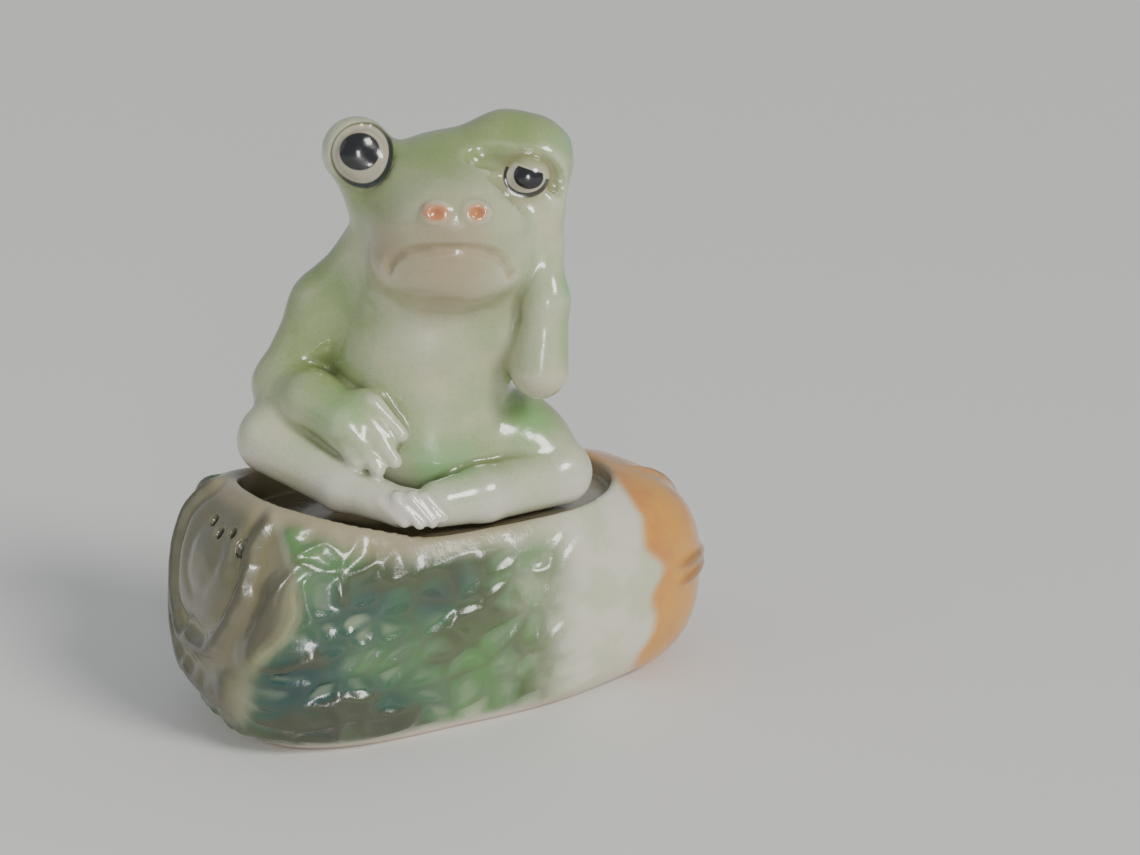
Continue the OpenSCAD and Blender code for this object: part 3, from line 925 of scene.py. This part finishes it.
def cabbage_glaze():
    paint = Paint("cabbage_glaze", 0.2, coat=0.5)
    cloud = paint.noise(8, 4)
    fine = paint.noise(0.5, 3, 0.65)
    blotch = paint.ramp(paint.noise(5, 4, 0.6), 0.42, 0.6)
    # High where the relief is above 0, which is where make_base sinks the surface
    raised = paint.mask("raised")
    # Painted highlight: lighter paint where raised is high, where make_base sinks the surface
    ridges = paint.ramp(raised, 0.56, 0.9)
    # Painted shade: darker paint where raised is low, where the relief stands out
    valley_shade = paint.ramp(raised, 0.5, 0.18)
    paint.start(CABBAGE_CREAM)
    paint.over(CABBAGE_PALE_GREEN, paint.ramp(cloud, 0.4, 0.65))
    green = paint.mask("green")
    paint.over(LEAF_GREEN, paint.times(green, 0.95))
    paint.over(LEAF_BRIGHT, paint.times(green, blotch, 0.75))
    paint.over(LEAF_TEAL, paint.times(paint.mask("teal"), 0.97))
    # Painted shade: a dark brown laid over the green leaves where raised is low
    paint.over(LEAF_VALLEY_SHADE, paint.times(green, valley_shade, 0.6))
    # Painted highlight: a pale green laid over the leaves where raised is high
    paint.over(LEAF_RIDGE_HIGHLIGHT, paint.times(paint.mask("leafy"), ridges, 0.5))
    end = paint.mask("end")
    # The end's own olive, painted darker as shade, since this end faces away from the light
    paint.over(SHADED_END_OLIVE, paint.times(end, 0.9))
    # Painted highlight: a lighter olive on the end where raised is high
    paint.over(END_RIDGE_HIGHLIGHT, paint.times(end, ridges, 0.7))
    # Painted shade: a near-black olive on the end where raised is low
    paint.over(END_VALLEY_SHADE, paint.times(end, valley_shade, 0.6))
    paint.over(RIB_GREEN, paint.times(paint.mask("rib"), 0.6))
    paint.over(RIM_KHAKI, paint.times(paint.mask("khaki"), 0.85))
    butt = paint.mask("butt")
    paint.over(BUTT_YELLOW, paint.times(butt, 0.97))
    paint.over(BUTT_ORANGE, paint.times(butt, paint.ramp(cloud, 0.42, 0.66), 0.7))
    # Painted highlight: a pale yellow on the butt where raised is high
    paint.over(BUTT_RIDGE_HIGHLIGHT, paint.times(butt, paint.ramp(raised, 0.52, 0.7), 0.5))
    # Painted shade: a dark brown along the butt's crease lines, where raised is low
    paint.over(BUTT_CREASE_SHADE, paint.times(butt, paint.ramp(raised, 0.44, 0.2), 0.7))
    # Painted shade: the seat's recess, where the frog sits, darkened to brown
    paint.over(SEAT_SHADE_BROWN, paint.times(paint.mask("seat"), 0.7))
    speckle = paint.ramp(paint.noise(0.45, 2, 0.7), 0.62, 0.76)
    paint.over(CABBAGE_SPECKLE, paint.times(speckle, 0.25))
    paint.over(CABBAGE_FOOT, paint.times(paint.mask("foot"), 0.9))
    dull = paint.maths("MULTIPLY_ADD", paint.mask("foot"), 0.5, 0.15)
    return paint.finish(paint.maths("MULTIPLY_ADD", fine, 0.16, dull),
                        [(paint.noise(2.2, 3), 0.12), (fine, 0.04)])


def cork_skin():
    paint = Paint("cork_skin", 0.85)
    grain = paint.noise(1.1, 5, 0.65)
    paint.start(CORK_TAN)
    paint.over(CORK_BROWN, paint.ramp(grain, 0.4, 0.7))
    paint.over(CORK_PALE, paint.times(paint.ramp(paint.noise(0.5, 3), 0.55, 0.75), 0.5))
    paint.over(CORK_PORE, paint.times(paint.mask("pore"), 0.85))
    return paint.finish(paint.maths("MULTIPLY_ADD", grain, 0.15, 0.75), [(grain, 0.12)])


# ---------------------------------------------------------------- camera and light
def look_at(obj, place, target):
    """Puts a camera or light at a place in millimetres, facing a target."""
    obj.location = Vector(place) * MM
    obj.rotation_euler = (Vector(target) - Vector(place)).to_track_quat("-Z", "Y").to_euler()


def add_camera():
    data = bpy.data.cameras.new("camera")
    data.sensor_width = 36.0
    data.lens = CAMERA_LENS
    data.clip_start = 0.01
    camera = bpy.data.objects.new("camera", data)
    bpy.context.scene.collection.objects.link(camera)
    turn, lift = math.radians(CAMERA_TURN), math.radians(CAMERA_LIFT)
    level = math.cos(lift)
    back = Vector((math.sin(turn) * level, -math.cos(turn) * level, math.sin(lift)))
    look_at(camera, Vector(CAMERA_TARGET) + back * CAMERA_DISTANCE, CAMERA_TARGET)
    bpy.context.scene.camera = camera


def add_light(name, kind, way, distance, strength, colour=(1, 1, 1), size=None, angle=None):
    """A soft light, placed by the way to it from the object: right, back and up for the camera."""
    data = bpy.data.lights.new(name, kind)
    if size is not None:
        data.shape = "RECTANGLE"
        data.size, data.size_y = size[0] * MM, size[1] * MM
    if angle is not None:
        data.angle = angle
    data.energy = strength
    data.color = colour
    light = bpy.data.objects.new(name, data)
    bpy.context.scene.collection.objects.link(light)
    turn = math.radians(CAMERA_TURN)
    right = Vector((math.cos(turn), math.sin(turn), 0))
    back = Vector((-math.sin(turn), math.cos(turn), 0))
    direction = (right * way[0] + back * way[1] + Vector((0, 0, way[2]))).normalized()
    look_at(light, Vector(LIGHTS_AIM) + direction * distance, LIGHTS_AIM)


def add_studio():
    world = bpy.data.worlds.new("studio")
    bpy.context.scene.world = world
    world.use_nodes = True
    background = next(n for n in world.node_tree.nodes if n.type == "BACKGROUND")
    background.inputs["Color"].default_value = (0.86, 0.90, 0.94, 1)
    background.inputs["Strength"].default_value = 0.45
    add_light("sun", "SUN", (0.75, -0.6, 0.7), 600, 2.1, (1, 0.98, 0.94), angle=0.35)
    add_light("window", "AREA", (0.14, -0.97, 0.12), 620, 1.3, size=(85, 170))
    add_light("fill", "AREA", (-0.9, -0.4, 0.5), 600, 0.2, (0.92, 0.96, 1), size=(400, 400))
    bpy.ops.mesh.primitive_plane_add(size=4)
    floor = bpy.context.object
    floor.name = "floor"
    paint = Paint("floor_paint", 0.6)
    paint.start(FLOOR_WHITE)
    floor.data.materials.append(paint.finish())


def main():
    frog = make_frog()
    base = make_base()
    base_cork = make_cork("cabbage_cork_plug", "cabbage_stopper")
    frog_cork = make_cork("frog_cork_plug", "frog_stopper")
    frog.data.materials.append(frog_glaze())
    base.data.materials.append(cabbage_glaze())
    cork = cork_skin()
    for obj, body, node, slot in (
        (frog, "frog", "frog_shell", "frog_glaze"),
        (base, "cabbage", "cabbage_shell", "cabbage_glaze"),
        (base_cork, "cabbage_cork", "cabbage_stopper", "cork"),
        (frog_cork, "frog_cork", "frog_stopper", "cork"),
    ):
        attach(obj, body)
        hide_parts(node)
    for obj in (base_cork, frog_cork):
        obj.data.materials.append(cork)
    add_camera()
    add_studio()
    print("faces", [(o.name, len(o.data.polygons)) for o in (frog, base, base_cork, frog_cork)])


main()
